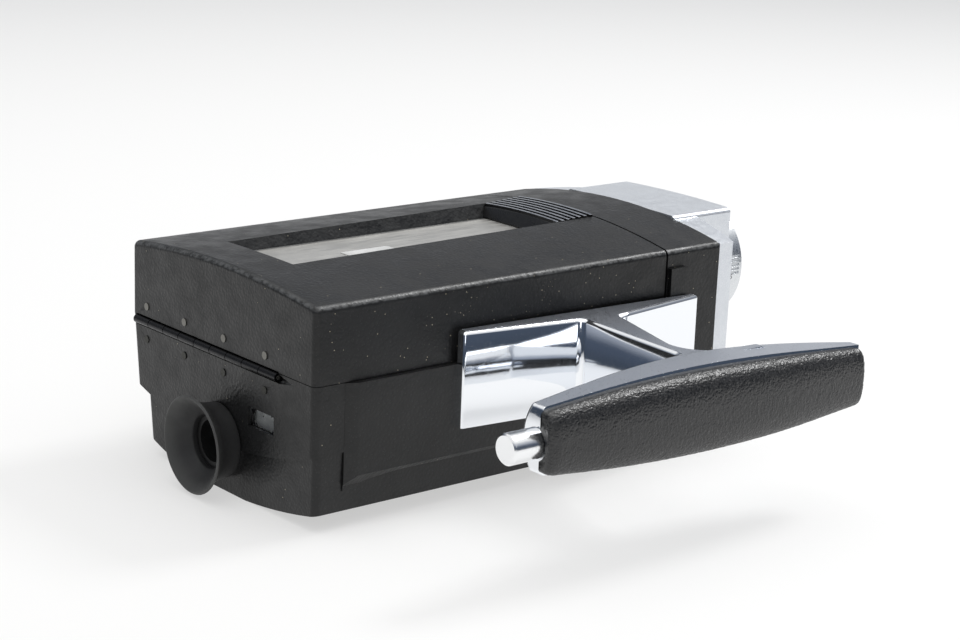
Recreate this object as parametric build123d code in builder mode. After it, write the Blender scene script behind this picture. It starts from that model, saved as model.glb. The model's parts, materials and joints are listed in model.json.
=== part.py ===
"""Cine camera for drop-in 8 mm film cartridges, lying on its flat right-hand side.

Frame: millimetres. +Y is forward, through the lens. +Z is up, through the film door. +X runs towards the
hand grip, so +X is down when the camera is held. The origin is the middle of the face it lies on.
"""

import math
import os

from build123d import *

os.makedirs("parts", exist_ok=True)

# Casing
CASE_W = 91.0  # along X
CASE_L = 147.0  # along Y, without the silver front
HALF_W = CASE_W / 2
REAR_Y = -CASE_L / 2
FRONT_Y = CASE_L / 2
SEAM_Z = 40.9  # joint between the lower shell and the film door
SEAM_GAP = 0.2
EDGE_Z = 62.2  # long top edges
CROWN_REAR = 3.1  # rise of the crowned top over its edges
CROWN_FRONT = 5.1
WALL = 2.2
CORNER_R = 2.0
DOOR_FRONT_Y = 51.6
RING_REAR_Y = 52.3  # the full-height front ring of the lower shell starts here

# Optical axes
LENS_X, LENS_Z = 1.0, 44.5
FINDER_X, FINDER_Z = 1.0, 14.9

# Hinge of the film door
HINGE_Z = 39.7
KNUCKLE_R = 1.25
GROOVE_R = 1.6
PIN_R = 0.57
HINGE_X0, HINGE_X1 = -43.0, 29.0
LEAF_T = 0.4

# Recess, nameplate and catch in the door
FLOOR_Z = 61.3
FLOOR_T = 1.0
RECESS_X0, RECESS_X1 = -18.7, 11.6  # at the floor
RECESS_Y0, RECESS_Y1 = -52.1, 56.0  # open to the front
PLATE_T = 0.5
CATCH_X0, CATCH_X1 = -21.4, 13.4
CATCH_REAR_Y, CATCH_FRONT_Y = 35.3, 51.4
CATCH_FIT = 0.25  # to the recess's walls

# Handle
PAD_X = 47.2  # outer face of the raised pad on the casing's side
PLATE_Y0, PLATE_Y1 = -27.4, 62.2
PLATE_Z0 = 23.0
ARM_TOP = (50.0, PLATE_Y0, 50.4)  # a point of the arm's sloping top
ARM_NORMAL = (0.0117, 0.0203, 1.0)
HANDLE_EDGE_R = 1.1
BAR_Y0, BAR_Y1 = -47.5, 69.0
BAR_X = 105.5  # outer edge of the metal
BUTTON_X, BUTTON_Z, BUTTON_R = 103.3, 37.3, 4.1
BUTTON_OUT = 10.0

# Mechanism
FRAME_Z0, FRAME_Z1 = 34.6, 36.0  # floor of the film chamber
BULKHEAD_Y0, BULKHEAD_Y1 = 24.0, 25.6
SHUTTER_X, SHUTTER_Z, SHUTTER_R = 17.0, 39.0, 20.4
MODULE = 0.6
GEAR_TEETH, PINION_TEETH = 60, 12
MOTOR_X = 26.0
GEAR_CENTRES = MODULE * (GEAR_TEETH + PINION_TEETH) / 2
MOTOR_Z = SHUTTER_Z - math.sqrt(GEAR_CENTRES**2 - (MOTOR_X - SHUTTER_X) ** 2)
MOTOR_R = 10.5
RUN = 0.05  # running clearance on radius

# Casing details
PAN_SETBACK = 1.2  # the pan's rear face lies this far inside the band's
LIP_REAR_Y, LIP_FRONT_Y = 49.6, 56.0
LIP_OUT, LIP_IN = 2.5, 3.7
COVER_T = 2.2
COVER_HALF_W = 32.0
COVER_Y0, COVER_Y1 = -62.0, 44.0
FLOOR_TOP_Z = 4.4
HOLDER_X0, HOLDER_X1 = -29.3, -11.3
HOLDER_Y0, HOLDER_Y1 = -62.4, 42.4
SCREW_X, SCREW_Y = 24.0, -8.0
COUNTER_X, COUNTER_Z = 22.5, 17.5
CELL_R = 8.2
BARREL_R = 15.5
FRAME_BOSSES = [(-34.0, -58.0), (-34.0, 15.0), (38.0, -58.0), (38.0, 6.0)]
FRONT_SCREWS = [(-32.0, 12.0), (38.0, 12.0), (-38.0, 55.0), (38.0, 55.0)]
HANDLE_SCREWS = [(0.0, 26.8), (0.0, 33.2), (30.0, 26.8), (30.0, 33.2)]
STEM_Y, WIRE_Z = 13.45, 33.7
TUNNEL_R = 1.5
RIVET_XS = [-37.4, -17.4, 2.6, 22.6]
RIVET_R = 0.8
RIVET_TOP_Z, RIVET_LOW_Z = 44.3, 34.6
KNUCKLES = 9
KNUCKLE_L = (HINGE_X1 - HINGE_X0) / KNUCKLES
WINDOW_X, WINDOW_Y = (-3.2, 1.2), (-30.5, -14.0)
KNURLS = 5
SPINDLE = (0.0, -16.0)
BRACKET_POSTS = [(38.2, 57.0), (-8.6, 57.0)]
RIBS = 7
RIB_W, RIB_H = 1.0, 0.9
RIB_Y0 = 37.2
RIB_PITCH = (CATCH_FRONT_Y - RIB_W - RIB_Y0) / (RIBS - 1)


def across(y):
    """Plane across the camera at y: sketch x is X, sketch y is Z, and extrusions run rearward."""
    return Plane((0, y, 0), x_dir=(1, 0, 0), z_dir=(0, -1, 0))


def beside(x):
    """Plane along the camera at x: sketch x is Y, sketch y is Z, and extrusions run towards +X."""
    return Plane((x, 0, 0), x_dir=(0, 1, 0), z_dir=(1, 0, 0))


def block(x0, x1, y0, y1, z0, z1, mode=Mode.ADD):
    """Box between two corners."""
    with Locations(((x0 + x1) / 2, (y0 + y1) / 2, (z0 + z1) / 2)):
        Box(x1 - x0, y1 - y0, z1 - z0, mode=mode)


def rod(x, z, radius, y0, y1, mode=Mode.ADD):
    """Round bar along Y."""
    with Locations((x, (y0 + y1) / 2, z)):
        Cylinder(radius, y1 - y0, rotation=(90, 0, 0), mode=mode)


def post(x, y, radius, z0, z1, mode=Mode.ADD):
    """Round bar along Z."""
    with Locations((x, y, (z0 + z1) / 2)):
        Cylinder(radius, z1 - z0, mode=mode)


def bolt_x(y, z, radius, x0, x1, mode=Mode.ADD):
    """Round bar along X."""
    with Locations(((x0 + x1) / 2, y, z)):
        Cylinder(radius, x1 - x0, rotation=(0, 90, 0), mode=mode)


def save(piece, name):
    """Label a finished piece and write its STEP file."""
    piece.part.label = name
    export_step(piece.part, f"parts/{name}.step")


def crown_at(y):
    """Height of the crowned top's middle line."""
    share = (y - REAR_Y) / CASE_L
    return EDGE_Z + CROWN_REAR + (CROWN_FRONT - CROWN_REAR) * share


def top_section(y, inset, low):
    """Section of the casing above the height low, with its crowned top."""
    half, edge, crown = HALF_W - inset, EDGE_Z - inset, crown_at(y) - inset
    with BuildSketch(across(y)) as section:
        with BuildLine():
            Polyline((-half, edge), (-half, low), (half, low), (half, edge))
            ThreePointArc((half, edge), (0, crown), (-half, edge))
        make_face()
        fillet(section.vertices().sort_by(Axis.Y)[-2:], CORNER_R)
    return section.sketch


def top_shell(y0, y1, inset, low, mode=Mode.ADD):
    """Solid under the crowned top between two sections."""
    loft(sections=[top_section(y0, inset, low), top_section(y1, inset, low)], ruled=True, mode=mode)


def band_section(inset):
    """Upper band of the lower shell: its lower edge is a shallow arc that shows as a crease."""
    half = HALF_W - inset
    left = half - 2.4
    with BuildSketch(across(FRONT_Y - inset)) as section:
        with BuildLine():
            Line((-left, 20.6 + inset), (-half, SEAM_Z - SEAM_GAP / 2))
            Line((-half, SEAM_Z - SEAM_GAP / 2), (half, SEAM_Z - SEAM_GAP / 2))
            Line((half, SEAM_Z - SEAM_GAP / 2), (half, 21.7 + inset))
            ThreePointArc((half, 21.7 + inset), (0, 14.0 + inset), (-left, 20.6 + inset))
        make_face()
    return section.sketch


def pan_section(inset):
    """Lower part of the shell: set in on the -X side, with a bottom crowned to a flat middle."""
    left, right = 39.5 - inset, 45.1 - inset
    with BuildSketch(across(FRONT_Y - inset)) as section:
        with BuildLine():
            Polyline((-37.6 + inset, 5.2 + inset), (-left, 20.0), (-left, 26.0), (right, 26.0))
            Line((right, 26.0), (right - 0.5, 5.0 + inset))
            ThreePointArc((right - 0.5, 5.0 + inset), (30.0, 2.1 + inset), (12.0, inset))
            Line((12.0, inset), (-12.0, inset))
            ThreePointArc((-12.0, inset), (-26.0, 1.9 + inset), (-37.6 + inset, 5.2 + inset))
        make_face()
    return section.sketch


def involute(angle):
    """Involute function, in radians."""
    return math.tan(angle) - angle


def involute_gear(teeth, centre_angle, x, z):
    """Outline of an involute spur gear centred on x, z; one tooth points along centre_angle, in degrees."""
    pitch_r = MODULE * teeth / 2
    base_r = pitch_r * math.cos(math.radians(20))
    tip_r, root_r = pitch_r + 0.7 * MODULE, pitch_r - 1.0 * MODULE
    flank_r = max(base_r, root_r)
    half_pitch = math.pi / (2 * teeth) * 0.9 + involute(math.radians(20))
    points = []
    for tooth in range(teeth):
        middle = math.radians(centre_angle) + 2 * math.pi * tooth / teeth
        radii = [flank_r + (tip_r - flank_r) * step / 3 for step in range(4)]
        halves = [half_pitch - involute(math.acos(base_r / r)) for r in radii]
        rising = [(r, middle - half) for r, half in zip(radii, halves)]
        falling = [(r, middle + half) for r, half in zip(radii, halves)][::-1]
        if root_r < flank_r:
            rising = [(root_r, middle - halves[0])] + rising
            falling = falling + [(root_r, middle + halves[0])]
        points += [(x + r * math.cos(a), z + r * math.sin(a)) for r, a in rising + falling]
    return points


def coil(radius, wire, turns, length, start, direction):
    """Compression spring that runs for its length from start along direction."""
    with BuildPart() as spring:
        with BuildLine() as path:
            Helix(pitch=length / turns, height=length, radius=radius, center=start, direction=direction)
        with BuildSketch(Plane(origin=path.line @ 0, z_dir=path.line % 0)):
            Circle(wire / 2)
        sweep(is_frenet=True)
    return spring.part


def lower_pan():
    """Lower part of the shell as a solid, with its rear corners rounded."""
    with BuildPart() as pan:
        extrude(pan_section(0), amount=CASE_L - PAN_SETBACK)
        rear = pan.edges().group_by(Axis.Y)[0]
        fillet(rear.filter_by(lambda e: abs(e.center().X) > 38 and e.length > 5), CORNER_R)
    return pan.part


def side_pad():
    """Raised pad on the handle side, with a sloped rear end and a bevelled lower edge."""
    with BuildPart() as pad:
        with BuildSketch(beside(44.0)):
            with BuildLine():
                Polyline((61.5, 13.9), (61.5, 40.7), (-63.7, 40.7), (-63.7, 10.8))
                Polyline((-63.7, 10.8), (-54.8, 13.0), (-46.4, 13.9), (61.5, 13.9))
            make_face()
        extrude(amount=PAD_X - 44.0)
        with BuildSketch(Plane.XY.offset(5.0)):
            with BuildLine():
                Polyline((45.5, -63.8), (PAD_X + 0.1, -59.7), (PAD_X + 0.1, -65.0), (45.5, -65.0), close=True)
            make_face()
        extrude(amount=40.0, mode=Mode.SUBTRACT)
        with BuildSketch(across(62.0)):
            with BuildLine():
                Polyline((PAD_X + 0.1, 15.2), (45.2, 12.2), (45.2, 5.0), (PAD_X + 0.1, 5.0), close=True)
            make_face()
        extrude(amount=130.0, mode=Mode.SUBTRACT)
    return pad.part


# ---------------------------------------------------------------- casing
with BuildPart() as main_casing:
    extrude(band_section(0), amount=CASE_L)
    rear_edges = main_casing.edges().group_by(Axis.Y)[0]
    fillet(rear_edges.filter_by(lambda e: abs(e.center().X) > 42), CORNER_R)
    add(lower_pan())
    top_shell(RING_REAR_Y, FRONT_Y, 0, SEAM_Z - 3)
    rod(FINDER_X, FINDER_Z, 10.4, REAR_Y, REAR_Y + 3)
    # Lip that the door's front edge closes over.
    top_shell(LIP_REAR_Y, RING_REAR_Y + 0.5, LIP_OUT, SEAM_Z)
    # Hollow: the band, the pan and the front ring, which is thicker next to the door.
    extrude(band_section(WALL), amount=CASE_L - 2 * WALL, mode=Mode.SUBTRACT)
    extrude(pan_section(WALL), amount=CASE_L - PAN_SETBACK - 2 * WALL, mode=Mode.SUBTRACT)
    top_shell(LIP_FRONT_Y, FRONT_Y - WALL, WALL, SEAM_Z - 3, mode=Mode.SUBTRACT)
    top_shell(LIP_REAR_Y - 1, LIP_FRONT_Y, LIP_IN, SEAM_Z - 3, mode=Mode.SUBTRACT)
    # Notch in the lip for the catch.
    block(CATCH_X0 - 0.6, CATCH_X1 + 0.6, LIP_REAR_Y - 1, RING_REAR_Y, 50.0, 70.0, mode=Mode.SUBTRACT)
    # Pad for the handle and the small raised block beside the door's front edge.
    add(side_pad())
    block(45.0, 46.8, 52.9, 59.2, 40.0, 57.0)
    # Floor over the battery cover, frame bosses, counter post, finder saddle and cover-screw boss.
    block(-35.0, 35.0, -65.0, 47.0, COVER_T, FLOOR_TOP_Z)
    for x, y in FRAME_BOSSES:
        post(x, y, 2.6, 4.0, FRAME_Z0)
    block(COUNTER_X - 2, COUNTER_X + 2, -68.4, -64.5, 3.2, COUNTER_Z + 2)
    block(FINDER_X - 4, FINDER_X + 4, -60.0, -56.0, 4.0, 9.5)
    post(SCREW_X, SCREW_Y, 4.5, 4.0, 9.0)
    # Battery cover recess, battery opening and the flat seat of the battery holder.
    fit = 0.15
    cover_x, cover_y0, cover_y1 = COVER_HALF_W + fit, COVER_Y0 - fit, COVER_Y1 + fit
    block(-cover_x, cover_x, cover_y0, cover_y1, -1.0, COVER_T, mode=Mode.SUBTRACT)
    block(HOLDER_X0 + 0.5, HOLDER_X1 - 0.5, -62.0, 42.0, 0.0, 6.0, mode=Mode.SUBTRACT)
    block(HOLDER_X0, HOLDER_X1, HOLDER_Y0, HOLDER_Y1, FLOOR_TOP_Z, 6.0, mode=Mode.SUBTRACT)
    post(SCREW_X, SCREW_Y, 2.0, 0.0, 8.0, mode=Mode.SUBTRACT)
    # Hinge groove, which runs out to a point, and the lowered wall behind it.
    groove_x0, groove_x1 = HINGE_X0 - 0.1, HINGE_X1 + 0.1
    bolt_x(REAR_Y, HINGE_Z, GROOVE_R, groove_x0, groove_x1, mode=Mode.SUBTRACT)
    inside_y, groove_z = REAR_Y + WALL + 0.01, HINGE_Z - KNUCKLE_R
    block(groove_x0, groove_x1, REAR_Y - 1, inside_y, groove_z, SEAM_Z, mode=Mode.SUBTRACT)
    with Locations((HINGE_X1 + 3.25, REAR_Y, HINGE_Z - 0.4)):
        Cone(1.3, 0.1, 6.6, rotation=(0, 90, 0), mode=Mode.SUBTRACT)
    for x in RIVET_XS:
        rod(x, RIVET_LOW_Z, RIVET_R, REAR_Y - 1, REAR_Y + WALL + 1, mode=Mode.SUBTRACT)
    # Rear openings: eyepiece and frame counter.
    rod(FINDER_X, FINDER_Z, CELL_R + RUN, REAR_Y - 1, REAR_Y + 5, mode=Mode.SUBTRACT)
    block(14.8, 27.0, REAR_Y - 1, REAR_Y + 3, 22.8, 28.2, mode=Mode.SUBTRACT)
    rod(COUNTER_X, COUNTER_Z, 1.0 + RUN, -69.0, -64.0, mode=Mode.SUBTRACT)
    rod(FINDER_X, FINDER_Z, 6.5, -61.0, -55.0, mode=Mode.SUBTRACT)
    # Front openings: lens barrel, finder, light meter and the screws of the silver front.
    rod(LENS_X, LENS_Z, BARREL_R, 60.0, 75.0, mode=Mode.SUBTRACT)
    rod(FINDER_X, FINDER_Z, 6.5, 60.0, 75.0, mode=Mode.SUBTRACT)
    block(-27.0, -17.0, 60.0, 75.0, 9.0, 17.0, mode=Mode.SUBTRACT)
    for x, z in FRONT_SCREWS:
        rod(x, z, 1.5, 60.0, 75.0, mode=Mode.SUBTRACT)
    # Side openings for the handle's screws and wires, and threads for the frame's screws.
    for y, z in HANDLE_SCREWS:
        bolt_x(y, z, 1.5, 42.0, 48.0, mode=Mode.SUBTRACT)
    bolt_x(STEM_Y, WIRE_Z, TUNNEL_R, 42.0, 48.0, mode=Mode.SUBTRACT)
    for x, y in FRAME_BOSSES:
        post(x, y, 1.2, 27.0, FRAME_Z0 + 1, mode=Mode.SUBTRACT)
save(main_casing, "main_casing")

with BuildPart() as battery_cover:
    block(-COVER_HALF_W, COVER_HALF_W, COVER_Y0, COVER_Y1, 0.0, COVER_T)
    post(SCREW_X, SCREW_Y, 4.1, -0.5, 1.5, mode=Mode.SUBTRACT)
    post(SCREW_X, SCREW_Y, 2.2, 0.0, COVER_T + 1, mode=Mode.SUBTRACT)
    outer = battery_cover.edges().filter_by(Axis.Z).filter_by(lambda e: abs(e.center().X) > 30)
    fillet(outer, 3.0)
save(battery_cover, "battery_cover")

with BuildPart() as battery_cover_screw:
    post(SCREW_X, SCREW_Y, 4.0, 0.1, 1.5)
    post(SCREW_X, SCREW_Y, 2.0, 1.5, 8.0)
    block(SCREW_X - 3.2, SCREW_X + 3.2, SCREW_Y - 0.6, SCREW_Y + 0.6, 0.0, 0.9, mode=Mode.SUBTRACT)
save(battery_cover_screw, "battery_cover_screw")

with BuildPart() as counter_window:
    block(14.8, 27.0, REAR_Y + 0.8, REAR_Y + 2.0, 22.8, 28.2)
save(counter_window, "counter_window")

with BuildPart() as door_seal:
    for side in (-1, 1):
        near, far = sorted((side * 42.0, side * 42.9))
        block(near, far, -66.0, 48.5, 38.4, 42.4)
save(door_seal, "door_seal")


# ---------------------------------------------------------------- film door
def recess_cut(inset, mode=Mode.SUBTRACT):
    """Space of the door's recess: its rear and side walls slope outwards."""
    recess_x, recess_y = (RECESS_X0 + RECESS_X1) / 2, (RECESS_Y0 + RECESS_Y1) / 2
    recess_w, recess_l = RECESS_X1 - RECESS_X0 - 2 * inset, RECESS_Y1 - RECESS_Y0
    with BuildSketch(Plane.XY.offset(FLOOR_Z)) as low:
        with Locations((recess_x, recess_y)):
            Rectangle(recess_w, recess_l)
    with BuildSketch(Plane.XY.offset(FLOOR_Z + 7.0)) as high:
        with Locations((recess_x - 0.6, recess_y - 5.2)):
            Rectangle(recess_w + 5.4, recess_l + 10.4)
    loft(sections=[low.sketch, high.sketch], mode=mode)


def catch_top(inset, mode):
    """Space under the catch's top, which rises over the casing's towards the front."""
    sections = [top_section(34.0, inset + 0.09, 55.0), top_section(53.0, inset - 0.75, 55.0)]
    loft(sections=sections, ruled=True, mode=mode)


with BuildPart() as film_door:
    top_shell(REAR_Y, DOOR_FRONT_Y, 0, SEAM_Z + SEAM_GAP / 2)
    rear_edges = film_door.edges().group_by(Axis.Y)[0]
    fillet(rear_edges.filter_by(lambda e: e.center().Z > SEAM_Z + 1), CORNER_R - 0.2)
    top_shell(REAR_Y + WALL, DOOR_FRONT_Y + 1, WALL, SEAM_Z - 1, mode=Mode.SUBTRACT)
    # Tray under the recess, then the recess with its sloped rear and side walls.
    block(-25.0, 17.0, -63.6, LIP_REAR_Y - 0.4, FLOOR_Z - FLOOR_T, 64.2)
    recess_cut(0.0)
    # Slot for the catch's hook, and the post its spring pushes on.
    block(-4.6, 4.6, 44.5, DOOR_FRONT_Y + 1, 55.0, 63.2, mode=Mode.SUBTRACT)
    block(-13.5, -11.5, 39.8, 41.0, FLOOR_Z - 0.5, 64.2)
    # Opening under the small window, hinge groove and rivet holes.
    block(*WINDOW_X, *WINDOW_Y, 55.0, 63.0, mode=Mode.SUBTRACT)
    bolt_x(REAR_Y, HINGE_Z, GROOVE_R, HINGE_X0 - 0.1, HINGE_X1 + 0.1, mode=Mode.SUBTRACT)
    for x in RIVET_XS:
        rod(x, RIVET_TOP_Z, RIVET_R, REAR_Y - 1, REAR_Y + WALL + 1, mode=Mode.SUBTRACT)
save(film_door, "film_door")

with BuildPart() as nameplate:
    block(RECESS_X0 + 0.2, RECESS_X1 - 0.2, RECESS_Y0 + 0.2, 39.4, FLOOR_Z, FLOOR_Z + PLATE_T)
    block(*WINDOW_X, *WINDOW_Y, 60.0, 63.0, mode=Mode.SUBTRACT)
save(nameplate, "nameplate")

with BuildPart() as plate_window:
    block(*WINDOW_X, *WINDOW_Y, FLOOR_Z - 0.6, FLOOR_Z + PLATE_T + 0.2)
save(plate_window, "plate_window")

def catch_ribs():
    """Ribs for the thumb, which follow the catch's top."""
    with BuildPart() as ribs:
        for rib in range(RIBS):
            y = RIB_Y0 + rib * RIB_PITCH
            block(CATCH_X0, CATCH_X1, y, y + RIB_W, 63.5, 72.0)
        catch_top(0.0, Mode.INTERSECT)
    return ribs.part


with BuildPart() as door_catch:
    catch_z0 = FLOOR_Z + PLATE_T + 0.2
    block(CATCH_X0, CATCH_X1, CATCH_REAR_Y, CATCH_FRONT_Y, catch_z0, 72.0)
    catch_top(RIB_H, Mode.INTERSECT)
    add(catch_ribs())
    recess_cut(CATCH_FIT, mode=Mode.INTERSECT)
    with BuildSketch(beside(CATCH_X0 - 1)):
        with BuildLine():
            slope_z, behind_y = catch_z0 + 0.3, CATCH_REAR_Y - 3
            Polyline((CATCH_REAR_Y, slope_z), (RIB_Y0, 66.2), (RIB_Y0, 72.0), (behind_y, 72.0))
            Polyline((behind_y, 72.0), (behind_y, slope_z), (CATCH_REAR_Y, slope_z))
        make_face()
    extrude(amount=CATCH_X1 - CATCH_X0 + 2, mode=Mode.SUBTRACT)
    block(-4.0, 4.0, 49.9, CATCH_FRONT_Y, 55.0, 62.5)
    block(-4.0, 4.0, CATCH_FRONT_Y, 52.6, 55.6, 57.6)
    block(-14.6, -10.4, 39.6, 49.0, 61.0, 64.5, mode=Mode.SUBTRACT)
save(door_catch, "door_catch")

with BuildPart() as catch_spring:
    add(coil(1.1, 0.4, 6, 7.0, (-12.5, 41.5, 63.0), (0, 1, 0)))
save(catch_spring, "catch_spring")


def hinge_leaf(first_knuckle, tongue_z, leaf_z0, leaf_z1):
    """Hinge leaf with every second knuckle, bent in through the seam and flat inside the rear wall."""
    inside = REAR_Y + WALL
    with BuildPart() as leaf:
        block(HINGE_X0 + 1.2, HINGE_X1 - 0.2, inside, inside + LEAF_T, leaf_z0, leaf_z1)
        for knuckle in range(first_knuckle, KNUCKLES, 2):
            x0 = HINGE_X0 + knuckle * KNUCKLE_L + 0.15
            x1 = x0 + KNUCKLE_L - 0.3
            bolt_x(REAR_Y, HINGE_Z, KNUCKLE_R, x0, x1)
            block(x0, x1, REAR_Y, inside + LEAF_T, tongue_z, tongue_z + LEAF_T)
        bolt_x(REAR_Y, HINGE_Z, PIN_R + RUN, HINGE_X0 - 1, HINGE_X1 + 1, mode=Mode.SUBTRACT)
        rivet_z = RIVET_TOP_Z if tongue_z > HINGE_Z else RIVET_LOW_Z
        for x in RIVET_XS:
            rod(x, rivet_z, RIVET_R, REAR_Y, inside + 1, mode=Mode.SUBTRACT)
    return leaf


tongue_top_z, tongue_low_z = HINGE_Z + KNUCKLE_R - LEAF_T, HINGE_Z - KNUCKLE_R
hinge_leaf_upper = hinge_leaf(0, tongue_top_z, tongue_top_z, RIVET_TOP_Z + 3.5)
save(hinge_leaf_upper, "hinge_leaf_upper")
hinge_leaf_lower = hinge_leaf(1, tongue_low_z, RIVET_LOW_Z - 3.5, tongue_low_z + LEAF_T)
save(hinge_leaf_lower, "hinge_leaf_lower")

with BuildPart() as hinge_pin:
    bolt_x(REAR_Y, HINGE_Z, PIN_R, HINGE_X0, HINGE_X1)
save(hinge_pin, "hinge_pin")


def rivet_row(z):
    """Row of rivets with flat heads just proud of the rear face, closed over on the leaf."""
    inside = REAR_Y + WALL + LEAF_T
    with BuildPart() as row:
        for x in RIVET_XS:
            rod(x, z, RIVET_R, REAR_Y, inside)
            rod(x, z, 1.1, REAR_Y - 0.25, REAR_Y)
            rod(x, z, 1.3, inside, inside + 0.4)
    return row


save(rivet_row(RIVET_TOP_Z), "hinge_rivets_upper")
save(rivet_row(RIVET_LOW_Z), "hinge_rivets_lower")


# ---------------------------------------------------------------- handle
def bar_section(y, inner, bulge, low, high):
    """Section of the handle's bar: flat on top and outside, bulging towards the casing."""
    with BuildSketch(across(y)) as section:
        with BuildLine():
            Polyline((inner, low), (BAR_X, low), (BAR_X, high), (inner, high))
            ThreePointArc((inner, high), (bulge, (low + high) / 2), (inner, low))
        make_face()
    return section.sketch


def grip_section(y, outer, low, high):
    """Section of the grip cover: flat against the bar, well rounded outside."""
    with BuildSketch(across(y)) as section:
        with BuildLine():
            Polyline((BAR_X, low), (outer, low), (outer, high), (BAR_X, high), close=True)
        make_face()
        fillet(section.vertices().sort_by(Axis.X)[-2:], 4.4)
    return section.sketch


# y, inner edge, inward bulge, lowest and highest point
BAR_STATIONS = [
    (BAR_Y0, 101.0, 97.9, 29.4, 47.1),
    (-25.0, 98.2, 95.4, 27.4, 48.7),
    (5.0, 95.3, 92.9, 26.2, 49.5),
    (35.0, 95.4, 93.0, 26.4, 48.3),
    (BAR_Y1, 101.6, 99.6, 28.6, 45.7),
]
# y, outer face, lowest and highest point
GRIP_STATIONS = [
    (-46.0, 110.6, 29.8, 46.8),
    (-22.0, 111.9, 27.6, 48.4),
    (5.0, 112.3, 26.5, 48.8),
    (35.0, 111.9, 26.8, 47.7),
    (67.5, 110.2, 29.0, 45.5),
]
RIB_X = 108.5  # the bar's core reaches this far into the grip cover
CORE_Z0, CORE_Z1 = 31.8, 42.8
POCKET_X0 = 98.2

# Corners of the arm seen from above: x, y, radius. The first and last end the plate, the fourth and
# fifth lie inside the bar.
ARM_REAR = [(49.9, PLATE_Y0, 0.9), (53.8, 12.0, 2.0), (95.2, 10.9, 4.0), (95.3, 3.0, 0.0)]
ARM_FRONT = [(95.6, 38.0, 0.0), (94.4, 12.9, 9.0), (56.0, 24.2, 1.0), (48.9, PLATE_Y1, 0.6)]


def arm():
    """Mounting plate and stem: both taper, and the stem sweeps out into the bar."""
    outer = [(x, y) for x, y, radius in ARM_REAR] + [(99.0, 3.0), (99.0, 38.0)]
    outer += [(x, y) for x, y, radius in ARM_FRONT]
    with BuildPart() as piece:
        with BuildSketch(Plane.XY.offset(PLATE_Z0)) as plan:
            with BuildLine():
                Polyline((PAD_X, PLATE_Y1), (PAD_X, PLATE_Y0), *outer, close=True)
            make_face()
            for x, y, radius in ARM_REAR + ARM_FRONT:
                if radius > 0:
                    fillet(plan.vertices().sort_by_distance((x, y, 0))[0], radius)
        extrude(amount=30.0)
        with BuildSketch(Plane(origin=ARM_TOP, z_dir=ARM_NORMAL)):
            Rectangle(300.0, 300.0)
        extrude(amount=20.0, mode=Mode.SUBTRACT)
        top = piece.faces().sort_by(Axis.Z)[-1]
        fillet(top.edges().filter_by(lambda e: PAD_X + 0.5 < e.center().X < 98.5), HANDLE_EDGE_R)
        # The stem is shallower than the plate.
        with BuildSketch(across(80.0)):
            with BuildLine():
                Polyline((99.0, 27.2), (99.0, PLATE_Z0 - 1), (55.5, PLATE_Z0 - 1))
                Polyline((55.5, PLATE_Z0 - 1), (55.5, PLATE_Z0), (62.0, 27.2), (99.0, 27.2))
            make_face()
        extrude(amount=120.0, mode=Mode.SUBTRACT)
    return piece.part


def bar():
    """Bar of the handle, rounded along the top and round the rear end."""
    with BuildPart() as piece:
        loft(sections=[bar_section(*station) for station in BAR_STATIONS])
        inner_top = piece.edges().filter_by(lambda e: e.center().Z > 47 and e.length > 100)
        fillet(inner_top.sort_by(Axis.X)[0], HANDLE_EDGE_R)
        rear = piece.edges().group_by(Axis.Y)[0]
        fillet(rear.filter_by(lambda e: e.center().X < BAR_X - 0.5), HANDLE_EDGE_R)
    return piece.part


with BuildPart() as handle_casting:
    add(arm())
    add(bar())
    block(BAR_X - 0.5, RIB_X, BAR_Y0, 62.0, CORE_Z0, CORE_Z1)
    # Bore for the button, its stem, the switch pocket and the way through for the wires.
    rod(BUTTON_X, BUTTON_Z, BUTTON_R + RUN, BAR_Y0 - 1, -30.0, mode=Mode.SUBTRACT)
    rod(BUTTON_X, BUTTON_Z, 1.5 + RUN, -31.0, -27.0, mode=Mode.SUBTRACT)
    block(POCKET_X0, RIB_X + 1, -28.0, STEM_Y + 3.5, 32.6, 42.0, mode=Mode.SUBTRACT)
    bolt_x(STEM_Y, WIRE_Z, TUNNEL_R, PAD_X - 1, POCKET_X0 + 1, mode=Mode.SUBTRACT)
    for y, z in HANDLE_SCREWS:
        bolt_x(y, z, 1.5, PAD_X - 1, 50.2, mode=Mode.SUBTRACT)
save(handle_casting, "handle_casting")

with BuildPart() as grip_cover:
    loft(sections=[grip_section(*station) for station in GRIP_STATIONS])
    block(BAR_X - 1, RIB_X, BAR_Y0, 62.0, CORE_Z0, CORE_Z1, mode=Mode.SUBTRACT)
save(grip_cover, "grip_cover")

with BuildPart() as start_button:
    rod(BUTTON_X, BUTTON_Z, BUTTON_R, BAR_Y0 - BUTTON_OUT, -40.5)
    chamfer(start_button.edges().sort_by(Axis.Y)[0], 0.5)
    rod(BUTTON_X, BUTTON_Z, 1.5, -40.5, -23.0)
    rod(BUTTON_X, BUTTON_Z, 2.8, -27.9, -27.1)
save(start_button, "start_button")

with BuildPart() as start_button_spring:
    add(coil(2.7, 0.6, 6, 9.4, (BUTTON_X, -40.0, BUTTON_Z), (0, 1, 0)))
save(start_button_spring, "start_button_spring")

with BuildPart() as start_switch:
    block(99.4, 106.6, -19.0, -6.0, 33.4, 41.4)
save(start_switch, "start_switch")

with BuildPart() as switch_wires:
    for shift in (-0.75, 0.75):
        with BuildLine() as path:
            rear, corner = (101.4, -6.0, WIRE_Z), (101.4, STEM_Y + shift, WIRE_Z)
            FilletPolyline(rear, corner, (36.0, STEM_Y + shift, WIRE_Z), radius=3.0)
        with BuildSketch(Plane(origin=path.line @ 0, z_dir=path.line % 0)):
            Circle(0.6)
        sweep()
save(switch_wires, "switch_wires")

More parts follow.
